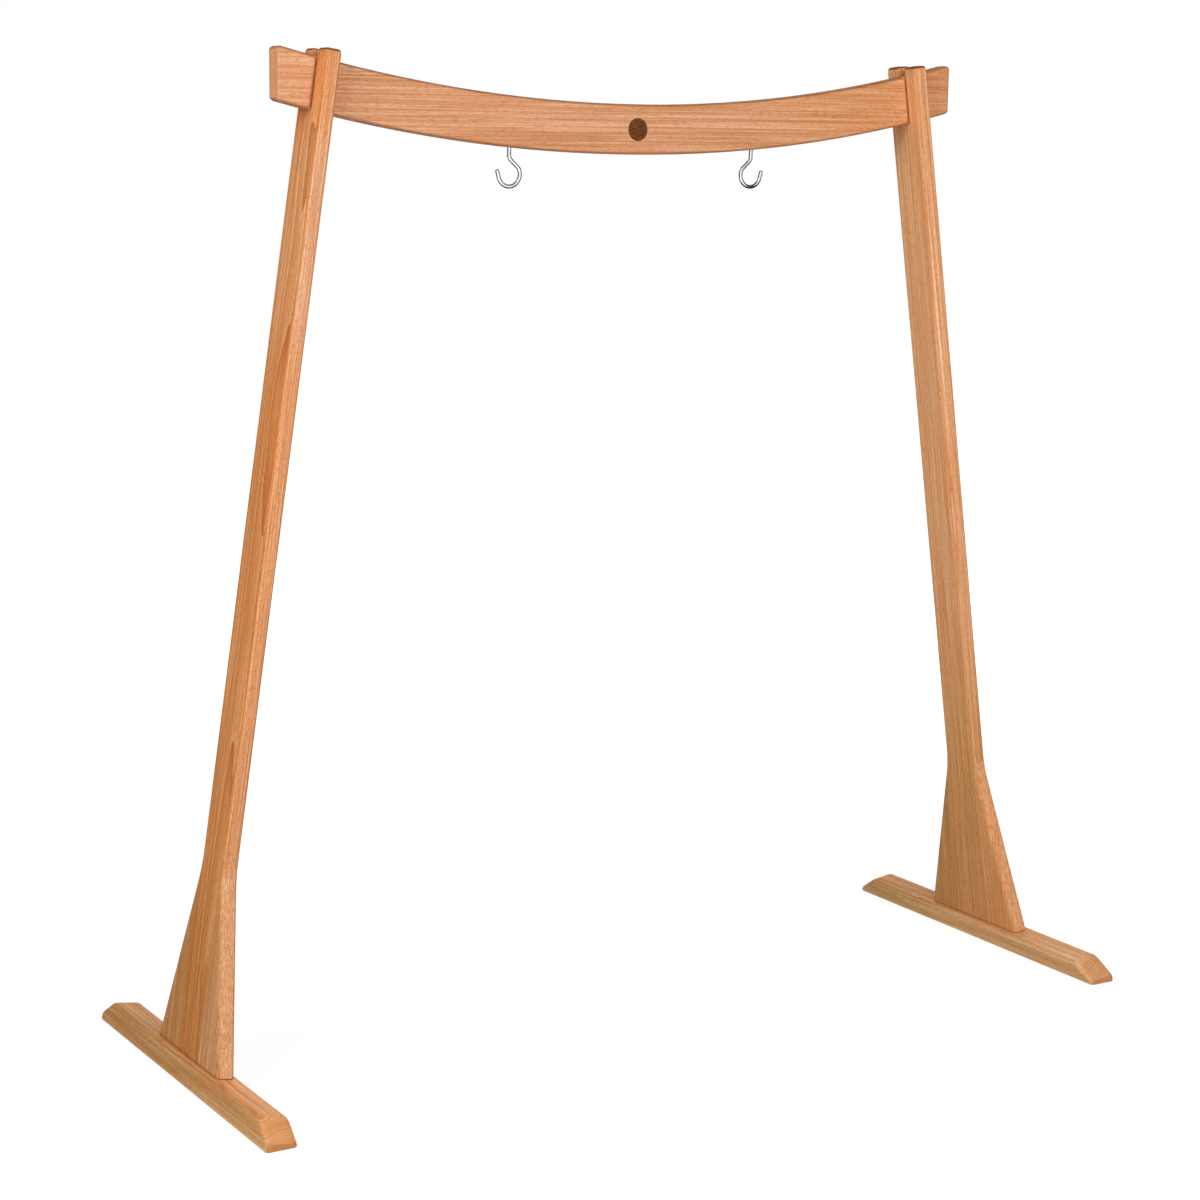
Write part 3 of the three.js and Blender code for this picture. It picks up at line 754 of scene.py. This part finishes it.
def circle(radius, count):
    around = [2 * math.pi * i / count for i in range(count)]
    return [(radius * math.cos(angle), radius * math.sin(angle)) for angle in around]


def turned(profile, x=0.0, y=0.0, count=40):
    return skin("turned", [[(x + a, y + b, z) for a, b in circle(radius, count)] for radius, z in profile])


def rod(diameter, low, high, **place):
    return turned([(diameter / 2, low), (diameter / 2, high)], **place)


print("corner steps", corner_steps)

# %% [markdown]
# ## Feet
# A foot is a bar 600 mm long whose section stands square to the leaning leg, so its top slopes a little
# inward. Its toes are sawn down at a slope. Each foot is skinned, turned into its lean, planed flat at
# the floor and drilled from below.

# %% Feet
slope_angle = math.atan(foot_slope_drop / foot_slope_run)
slope_bend = foot_length / 2 - foot_slope_run
slope_tangent = foot_slope_radius * math.tan(slope_angle / 2)


def foot_top(distance):
    top = 0.0
    if distance > slope_bend + slope_tangent * math.cos(slope_angle):
        top = -(distance - slope_bend) * math.tan(slope_angle)
    elif distance > slope_bend - slope_tangent:
        top = -round_over(foot_slope_radius, distance - (slope_bend - slope_tangent))
    return top - round_over(foot_toe_edge_radius, distance - (foot_length / 2 - foot_toe_edge_radius))


def foot_stations():
    bend = [slope_bend - slope_tangent + foot_slope_radius * math.sin(share * slope_angle)
            for share in shares(corner_steps)]
    toe = [foot_length / 2 - foot_toe_corner_radius * (1 - math.sin(angle)) for angle in quarter_turn]
    return [-d for d in reversed(bend + toe)] + bend + toe


def foot_section(distance):
    toe = foot_length / 2 - foot_toe_corner_radius
    half = foot_width / 2 - round_over(foot_toe_corner_radius, distance - toe)
    top = foot_top(distance)
    points = [(-half, -2 * foot_height), (half, -2 * foot_height)]
    for sign, angles in ((1, quarter_turn), (-1, quarter_turn[::-1])):
        points += [(sign * (half - foot_edge_radius * (1 - math.cos(angle))),
                    top - foot_edge_radius * (1 - math.sin(angle))) for angle in angles]
    return points


def planed_underside(side):
    outlines = []
    for height, grow_by in ((0.0, -foot_arris), (2 * foot_arris, foot_arris), (2 * foot_height, foot_arris)):
        outline = rounded_rectangle(foot_width / 2 / math.cos(lean) + grow_by, foot_length / 2 + grow_by,
                                    foot_toe_corner_radius + grow_by)
        middle = -leg_spread / 2 + (height - foot_height) * math.tan(lean)
        outlines.append([(middle + x, y, height) for x, y in outline])
    limit = skin("planed underside", outlines)
    return limit if side == "left" else move_points(limit, half_turn)


def make_foot(side):
    rows = [[(x, y, z) for x, z in foot_section(abs(y))] for y in foot_stations()]
    made = move_points(skin("foot", rows), trestle_frame[side])
    carve(made, [planed_underside(side)], "INTERSECT")
    drills = []
    for y in (-bolt_spacing / 2, bolt_spacing / 2):
        drills.append(rod(counterbore, -3 * foot_height, -bolted_wood, y=y))
        drills.append(rod(bolt_diameter + 2 * clearance, -3 * foot_height, overrun, y=y))
    carve(made, [move_points(drill, trestle_frame[side]) for drill in drills])
    node = f"{side}_foot"
    return finish_piece(made, f"{node}_beech", board_wood[node], f"{side}_trestle", node)


feet = [make_foot(side) for side in sides]

# %% [markdown]
# ## Legs and gussets
# A leg is a board with a fork sawn into its top. Below the knee, a wedge is glued to its front and to its
# back edge, which spreads its base on the foot. The edges are rounded after gluing, so board and wedges
# share one outline: it is skinned and then divided along the glue lines.

# %% The shared form of leg and gussets
knee_angle = math.atan((base_depth - leg_depth) / 2 / knee_height)
knee_tangent = knee_radius * math.tan(knee_angle / 2)


def leg_stations():
    half_leg, half_base = leg_depth / 2, base_depth / 2
    slope = (half_base - half_leg) / knee_height
    stations = []
    for angle in quarter_turn[::corner_steps // 2]:
        rise = leg_seat_arris * math.sin(angle)
        stations.append((glue_line + rise, half_base - slope * rise, leg_seat_arris * (1 - math.sin(angle))))
    for share in shares(2 * corner_steps):
        angle = knee_angle * (1 - share)
        height = knee_height + knee_tangent - knee_radius * math.sin(angle)
        stations.append((height, half_leg + knee_radius * (1 - math.cos(angle)), 0.0))
    for angle in quarter_turn:
        stations.append((leg_length - leg_top_fall * (1 - math.sin(angle)), half_leg,
                         leg_top_inset * (1 - math.cos(angle))))
    return stations


def leg_form():
    rows = []
    for height, half_depth, inset in leg_stations():
        outline = rounded_rectangle(leg_thickness / 2 - inset, half_depth - inset, leg_edge_radius - inset)
        rows.append([(x, y, height) for x, y in outline])
    return skin("leg", rows)


tip_angle = math.acos(1 - (glue_line + gusset_tip) / knee_radius)
gusset_height = knee_height + knee_tangent - knee_radius * math.sin(tip_angle)
print("gusset height", round(gusset_height, 4))

# %% [markdown]
# The fork's slot has rounded edges at its mouth and on both faces of the leg, and its floor follows the
# slope of the bar's underside. Its cutter is skinned level by level and widens near the outside.

# %% The fork's slot


def fork_cutter():
    edge = leg_thickness / 2
    xs = [-edge - overrun] + [-edge + fork_edge_radius * (1 - math.cos(angle)) for angle in quarter_turn]
    xs += [-x for x in reversed(xs)]
    heights = [seat_distance - clearance]
    heights += [leg_length - fork_edge_radius * (1 - math.sin(angle)) for angle in quarter_turn]
    heights += [leg_length + overrun]

    def half_width(x, z):
        into_x = max(0.0, abs(x) - (edge - fork_edge_radius))
        into_z = max(0.0, z - (leg_length - fork_edge_radius))
        return fork_slot_width / 2 + round_over(fork_edge_radius, math.hypot(into_x, into_z))

    rows = []
    for z in heights:
        rise = math.tan(seat_tilt) if z == heights[0] else 0.0
        near = [(x, -half_width(x, z), z + x * rise) for x in xs]
        far = [(x, half_width(x, z), z + x * rise) for x in xs]
        rows.append(near + far[::-1])
    return skin("fork cutter", rows)


def gusset_space(sign, gap):
    near, far = sorted((sign * (leg_depth / 2 + gap), sign * base_depth))
    outline = [(x * leg_thickness, y) for x, y in ((-1, near), (1, near), (1, far), (-1, far))]
    return prism(outline, -overrun, gusset_height + glue_line - gap)


def make_leg(side):
    made = carve(leg_form(), [fork_cutter(), gusset_space(-1, 0), gusset_space(1, 0)])
    move_points(made, trestle_frame[side])
    node = f"{side}_leg_post"
    return finish_piece(made, f"{side}_leg_beech", board_wood[node], f"{side}_trestle", node)


def make_gusset(side, facing):
    made = carve(leg_form(), [gusset_space(own_y(side, facing), glue_line)], "INTERSECT")
    move_points(made, trestle_frame[side])
    node = f"{side}_{facing}_gusset"
    return finish_piece(made, f"{node}_beech", board_wood[node], f"{side}_trestle", node)


legs = [make_leg(side) for side in sides]
gussets = [make_gusset(side, facing) for side in sides for facing in facings]

# %% [markdown]
# ## The crossbar
# The bar's shape follows a rule: its top and its underside are arcs about one centre, so every upright
# slice is bent by the same formula. Geometry Nodes suit that well. The tree starts from a straight beam
# cut into many slices and moves each point to the height that the two arcs give it. Its sizes are inputs
# of the tree, so the same tree makes a longer or flatter bar.

# %% The arched bar as a node tree


def new_shape_tree(name, **kinds):
    tree = bpy.data.node_groups.new(name, "GeometryNodeTree")
    add_sockets(tree, "INPUT", Geometry=["Geometry"], **kinds, Material=["Material"])
    add_sockets(tree, "OUTPUT", Geometry=["Geometry"])
    return tree, new_node(tree, "NodeGroupInput").outputs


def end_tree(tree, geometry, material):
    real = new_node(tree, "GeometryNodeRealizeInstances", {"Geometry": geometry})
    paint = new_node(tree, "GeometryNodeSetMaterial", {"Geometry": real.outputs[0], "Material": material})
    new_node(tree, "NodeGroupOutput", {0: paint.outputs[0]})
    return tree


def grow(tree, name, values, start=None):
    made = place_in_scene(name, start or bpy.data.meshes.new(name))
    step = made.modifiers.new(tree.name, "NODES")
    step.node_group = tree
    for item in tree.interface.items_tree:
        if item.item_type == "SOCKET" and item.in_out == "INPUT" and item.name in values:
            step[item.identifier] = values[item.name]
    solid = place_in_scene(name, as_mesh(made))
    bpy.data.objects.remove(made)
    return solid


def arched_bar_tree():
    sizes = ("Length", "Height", "Thickness", "Top Radius", "Middle Height")
    tree, given = new_shape_tree("Arched bar", Float=sizes, Int=["Slices"])
    size = join_vector(tree, given["Length"], given["Thickness"], given["Height"])
    beam = {"Size": size, "Vertices X": given["Slices"], "Vertices Y": 2, "Vertices Z": 2}
    beam = new_node(tree, "GeometryNodeMeshCube", beam).outputs["Mesh"]
    x, y, z = split_vector(tree, new_node(tree, "GeometryNodeInputPosition").outputs[0])
    below_top = calc(tree, "SUBTRACT", times(tree, given["Height"], 0.5), z)
    radius = calc(tree, "ADD", given["Top Radius"], below_top)
    squared = calc(tree, "SUBTRACT", times(tree, radius, radius), times(tree, x, x))
    centre = calc(tree, "ADD", given["Middle Height"], given["Top Radius"])
    bent = join_vector(tree, x, y, calc(tree, "SUBTRACT", centre, calc(tree, "SQRT", squared)))
    bend = new_node(tree, "GeometryNodeSetPosition", {"Geometry": beam, "Position": bent})
    return end_tree(tree, bend.outputs[0], given["Material"])


crossbar_slices = 91
crossbar = grow(arched_bar_tree(), "crossbar_blank", {
    "Length": 2 * crossbar_half, "Height": crossbar_height, "Thickness": crossbar_thickness,
    "Top Radius": crossbar_top_radius, "Middle Height": crossbar_middle_height,
    "Slices": crossbar_slices, "Material": board_wood["crossbar"]})
print("bar", len(crossbar.data.vertices), "points")

# %% [markdown]
# The bar's four end corners are rounded first, as seen from the front, and then the whole rim of both
# faces. The upright edges at the two ends are rounder still, so the bar is kept only where it overlaps a
# block with such ends. After that come the housings: each is a shallow trench across the face, as wide as
# the leg and leaning like it, with a rounded mouth. The fork's tines drop in and lock the stand.

# %% Rounding the bar and cutting its housings
face_height = crossbar_middle_height - crossbar_height / 2
front = -crossbar_thickness / 2


def round_edges(shape, edges, width):
    bmesh.ops.bevel(shape, geom=edges, offset=width, segments=corner_steps, profile=0.5, affect="EDGES")
    shape.normal_update()


def round_bar(made):
    end_slope = math.asin(crossbar_half / (crossbar_top_radius + crossbar_height / 2))
    end_height = underside_height(crossbar_half) + crossbar_height / 2
    shape = open_mesh(made, weld)
    for at_top, slope in ((True, end_slope), (False, -end_slope)):
        ends = [e for e in shape.edges
                if all(abs(abs(v.co.x) - crossbar_half) < 10 * weld for v in e.verts)
                and abs(e.verts[0].co.y - e.verts[1].co.y) > crossbar_thickness / 2
                and (e.verts[0].co.z > end_height) == at_top]
        round_edges(shape, ends, crossbar_corner_radius / math.tan((math.pi / 2 - slope) / 2))
    rim = [e for e in shape.edges if len(e.link_faces) == 2
           and abs(e.verts[0].co.y - e.verts[1].co.y) < weld
           and e.link_faces[0].normal.dot(e.link_faces[1].normal) < 0.1]
    round_edges(shape, rim, crossbar_edge_radius)
    close_mesh(shape, made.data)


def rounded_ends():
    outline = rounded_rectangle(crossbar_half + hair, crossbar_thickness / 2 + hair, crossbar_end_edge_radius)
    above = crossbar_middle_height + 2 * crossbar_height
    return prism(outline, above - 4 * crossbar_height, above)


def housing_cutter(side, sign):
    radius = housing_edge_radius
    face = crossbar_thickness / 2
    roll = face - radius
    mouth = leg_thickness / 2 + clearance + radius
    seat = fork_slot_width / 2 - clearance
    start = math.asin(min(max((seat - roll) / radius, 0), 1))
    right = []
    for share in shares(corner_steps):
        angle = start + (math.pi / 2 - start) * share
        right.append((mouth - radius * math.cos(angle), roll + radius * math.sin(angle)))
    right.append((mouth, face + overrun))
    length = crossbar_height / math.cos(seat_tilt)
    levels = [housing_corner * (1 - math.cos(angle)) for angle in quarter_turn]
    levels += [length - level for level in reversed(levels)]
    rows = []
    for level in (-crossbar_height, *levels, 2 * crossbar_height):
        extra = round_over(housing_corner, housing_corner - max(0, min(level, length - level)))
        outline = [(x + extra, y) for x, y in right]
        outline += [(-x, y) for x, y in reversed(outline)]
        rows.append([(x, sign * y, seat_distance + level + x * math.tan(seat_tilt)) for x, y in outline])
    return move_points(skin("housing cutter", rows), trestle_frame[side])


def disc_in_face(name, profile, count=96):
    return skin(name, [[(x, y, face_height + z) for x, z in circle(radius, count)] for radius, y in profile])


round_bar(crossbar)
carve(crossbar, [rounded_ends()], "INTERSECT")
recess = inlay_diameter / 2 + inlay_gap
recess_depth = inlay_thickness + clearance
cutters = [housing_cutter(side, sign) for side in sides for sign in (-1, 1)]
cutters.append(disc_in_face("recess", [(recess, front - overrun), (recess, front + recess_depth)]))
low = underside_height(hook_spacing / 2)
cutters += [rod(hook_wire + 2 * clearance, low - overrun, low + hook_shank + clearance, x=x)
            for x in (-hook_spacing / 2, hook_spacing / 2)]
carve(crossbar, cutters)
finish_piece(crossbar, "crossbar_beech", board_wood["crossbar"], "crossbar_bar", "crossbar")

# %% [markdown]
# ## The inlay
# A round plug of dark wood sits flush in a shallow recess in the front of the bar. Its rim is eased by a
# hair, so a fine line shows round it, and its face is very slightly crowned from sanding.

# %% Inlay
inlay_profile = [
    (inlay_diameter / 2, front + inlay_thickness),
    (inlay_diameter / 2, front + inlay_ease),
    (inlay_diameter / 2 - inlay_ease, front + inlay_crown),
    (inlay_diameter / 3, front + inlay_crown / 3),
    (inlay_diameter / 8, front),
]
inlay = disc_in_face("inlay", inlay_profile)
finish_piece(inlay, "round_inlay_wood", inlay_wood, "crossbar_bar", "round_inlay")

# %% [markdown]
# ## Hooks
# A screw hook is one length of wire: a threaded shank, a short neck that swings aside, a ring and an open
# tip. The wire follows a path, so the path is drawn once as a curve and Geometry Nodes sweep the round
# section along it. The wire's radius is stored on the path's points, which lets the tip end in a dome.

# %% The path of a hook
path_steps = {"shank": 12, "neck": 6, "bend": 20, "ring": 60, "tip": 5, "dome": 8}
finest_share = 0.02
down = Vector((0, 0, -1))


def bezier(a, b, c, d, t):
    return a * (1 - t) ** 3 + b * 3 * t * (1 - t) ** 2 + c * 3 * t ** 2 * (1 - t) + d * t ** 3


def on_ring(angle):
    return down * hook_drop + hook_ring_radius * Vector((math.cos(angle), 0, math.sin(angle)))


def way_on_ring(angle):
    return Vector((math.sin(angle), 0, -math.cos(angle)))


def hook_path():
    neck, start, end = down * hook_neck, on_ring(hook_ring_start), on_ring(hook_ring_end)
    out_of_ring = way_on_ring(hook_ring_end)
    reach = hook_ring_radius * hook_bend_share
    bend = (neck, neck + down * reach, start - way_on_ring(hook_ring_start) * reach, start)
    points = [down * -hook_shank * (1 - share) for share in shares(path_steps["shank"])[:-1]]
    points += [neck * share for share in shares(path_steps["neck"])[:-1]]
    points += [bezier(*bend, share) for share in shares(path_steps["bend"])[:-1]]
    sweep = hook_ring_end - hook_ring_start
    points += [on_ring(hook_ring_start + sweep * share) for share in shares(path_steps["ring"])]
    dome = hook_wire / 2
    straight = hook_tip - dome
    points += [end + out_of_ring * straight * share for share in shares(path_steps["tip"])[1:]]
    sizes = [1.0] * len(points)
    for share in shares(path_steps["dome"])[1:]:
        angle = share * math.pi / 2
        points.append(end + out_of_ring * (straight + dome * math.sin(angle)))
        sizes.append(max(math.cos(angle), finest_share))
    return points, sizes


def curve_from(points, sizes):
    curve = bpy.data.curves.new("wire path", "CURVE")
    curve.dimensions = "3D"
    spline = curve.splines.new("POLY")
    spline.points.add(len(points) - 1)
    for point, place, size in zip(spline.points, points, sizes):
        point.co = (*place, 1)
        point.radius = size
    return curve


print("hook path points", len(hook_path()[0]))

# %% [markdown]
# Two trees share the sweep of a round section along a curve. One sweeps the wire along the drawn path.
# The other draws a spiral and sweeps a thin four-sided ridge along it, as the screw's thread.

# %% The bent wire and its thread as node trees


def swept(tree, curve, section, scaled=False):
    section = new_node(tree, "GeometryNodeCurvePrimitiveCircle", section).outputs["Curve"]
    inputs = {"Curve": curve, "Profile Curve": section, "Fill Caps": True}
    sweep = new_node(tree, "GeometryNodeCurveToMesh", inputs)
    if scaled and "Scale" in sweep.inputs:
        feed(tree, sweep.inputs["Scale"], new_node(tree, "GeometryNodeInputRadius").outputs[0])
    return sweep.outputs[0]


def bent_wire_tree():
    tree, given = new_shape_tree("Bent wire", Float=["Wire Radius"], Int=["Sides"])
    section = {"Resolution": given["Sides"], "Radius": given["Wire Radius"]}
    return end_tree(tree, swept(tree, given["Geometry"], section, scaled=True), given["Material"])


def thread_tree():
    tree, given = new_shape_tree("Screw thread", Float=("Core Radius", "Pitch", "Length", "Ridge"))
    turns = calc(tree, "DIVIDE", given["Length"], given["Pitch"])
    coil = {"Resolution": 24, "Rotations": turns, "Height": given["Length"],
            "Start Radius": given["Core Radius"], "End Radius": given["Core Radius"]}
    coil = new_node(tree, "GeometryNodeCurveSpiral", coil).outputs[0]
    section = {"Resolution": 4, "Radius": given["Ridge"]}
    return end_tree(tree, swept(tree, coil, section), given["Material"])


bent_wire = bent_wire_tree()
screw_thread = thread_tree()
print("trees", [tree.name for tree in (bent_wire, screw_thread)])

# %% [markdown]
# Points that coincide are welded, and both solids move up to their place under the bar. The right hook
# is turned round.

# %% Hooks
wire_sides = 28
thread_ridge = 0.25 * mm
thread_pitch = 2.4 * mm
thread_start = 4 * mm
thread_length = hook_shank - 6 * mm


def make_hook(side):
    wire = {"Wire Radius": hook_wire / 2, "Sides": wire_sides, "Material": bright_steel}
    screw = {"Core Radius": hook_wire / 2, "Pitch": thread_pitch, "Length": thread_length,
             "Ridge": thread_ridge, "Material": bright_steel}
    made = grow(bent_wire, f"{side}_hook_wire", wire, curve_from(*hook_path()))
    thread = grow(screw_thread, "thread", screw)
    move_points(thread, Matrix.Translation((0, 0, thread_start)))
    x = -hook_spacing / 2 if side == "left" else hook_spacing / 2
    seat = Matrix.Translation((x, 0, underside_height(x)))
    if side == "right":
        seat = seat @ half_turn
    for solid, part, node in ((made, "wire", f"{side}_hook"), (thread, "thread", None)):
        shape = open_mesh(solid, weld / 10)
        bmesh.ops.recalc_face_normals(shape, faces=shape.faces)
        close_mesh(shape, solid.data)
        move_points(solid, seat)
        name = f"{side}_hook_{part}"
        finish_piece(solid, name, bright_steel, f"{side}_hook_body", node)
    return made


hooks = [make_hook(side) for side in sides]

# %% [markdown]
# ## The bolts under the feet
# A socket-head bolt stands in each counterbore, head down. It is a turned piece: a profile spun about its
# axis, with small bevels at its ends, and a six-sided socket for the key cut into the head.

# %% Bolts


def make_bolt(side, facing):
    seat = -bolted_wood - washer_thickness - 2 * clearance
    low, end = seat - bolt_head_height, seat + bolt_length
    head, shank = bolt_head / 2, bolt_diameter / 2
    made = turned([(head - bolt_bevel, low), (head, low + bolt_bevel), (head, seat), (shank, seat),
                   (shank, end - bolt_bevel), (shank - bolt_bevel, end)], count=48)
    socket = rod(socket_width / math.cos(math.pi / 6), low - overrun, low + socket_depth, count=6)
    carve(made, [socket])
    y = own_y(side, facing) * bolt_spacing / 2
    move_points(made, trestle_frame[side] @ Matrix.Translation((0, y, 0)))
    node = f"{side}_{facing}_bolt"
    return finish_piece(made, f"{node}_steel", zinc_steel, f"{side}_trestle", node)


bolts = [make_bolt(side, facing) for side in sides for facing in facings]
print("bolts", [bolt.name for bolt in bolts])

# %% [markdown]
# ## Washers, inserts and dowels
# The model's own solids have the true shape of these plain turned pieces. They only get their finish.

# %% Hidden hardware
hardware_finish = {"_dowel": dowel_wood, "_washer": zinc_steel, "_insert": zinc_steel}
for name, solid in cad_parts.items():
    for ending, finish in hardware_finish.items():
        if name.endswith(ending):
            for place in solid.material_slots:
                place.material = finish
print("hardware pieces", sum(name.endswith(tuple(hardware_finish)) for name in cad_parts))
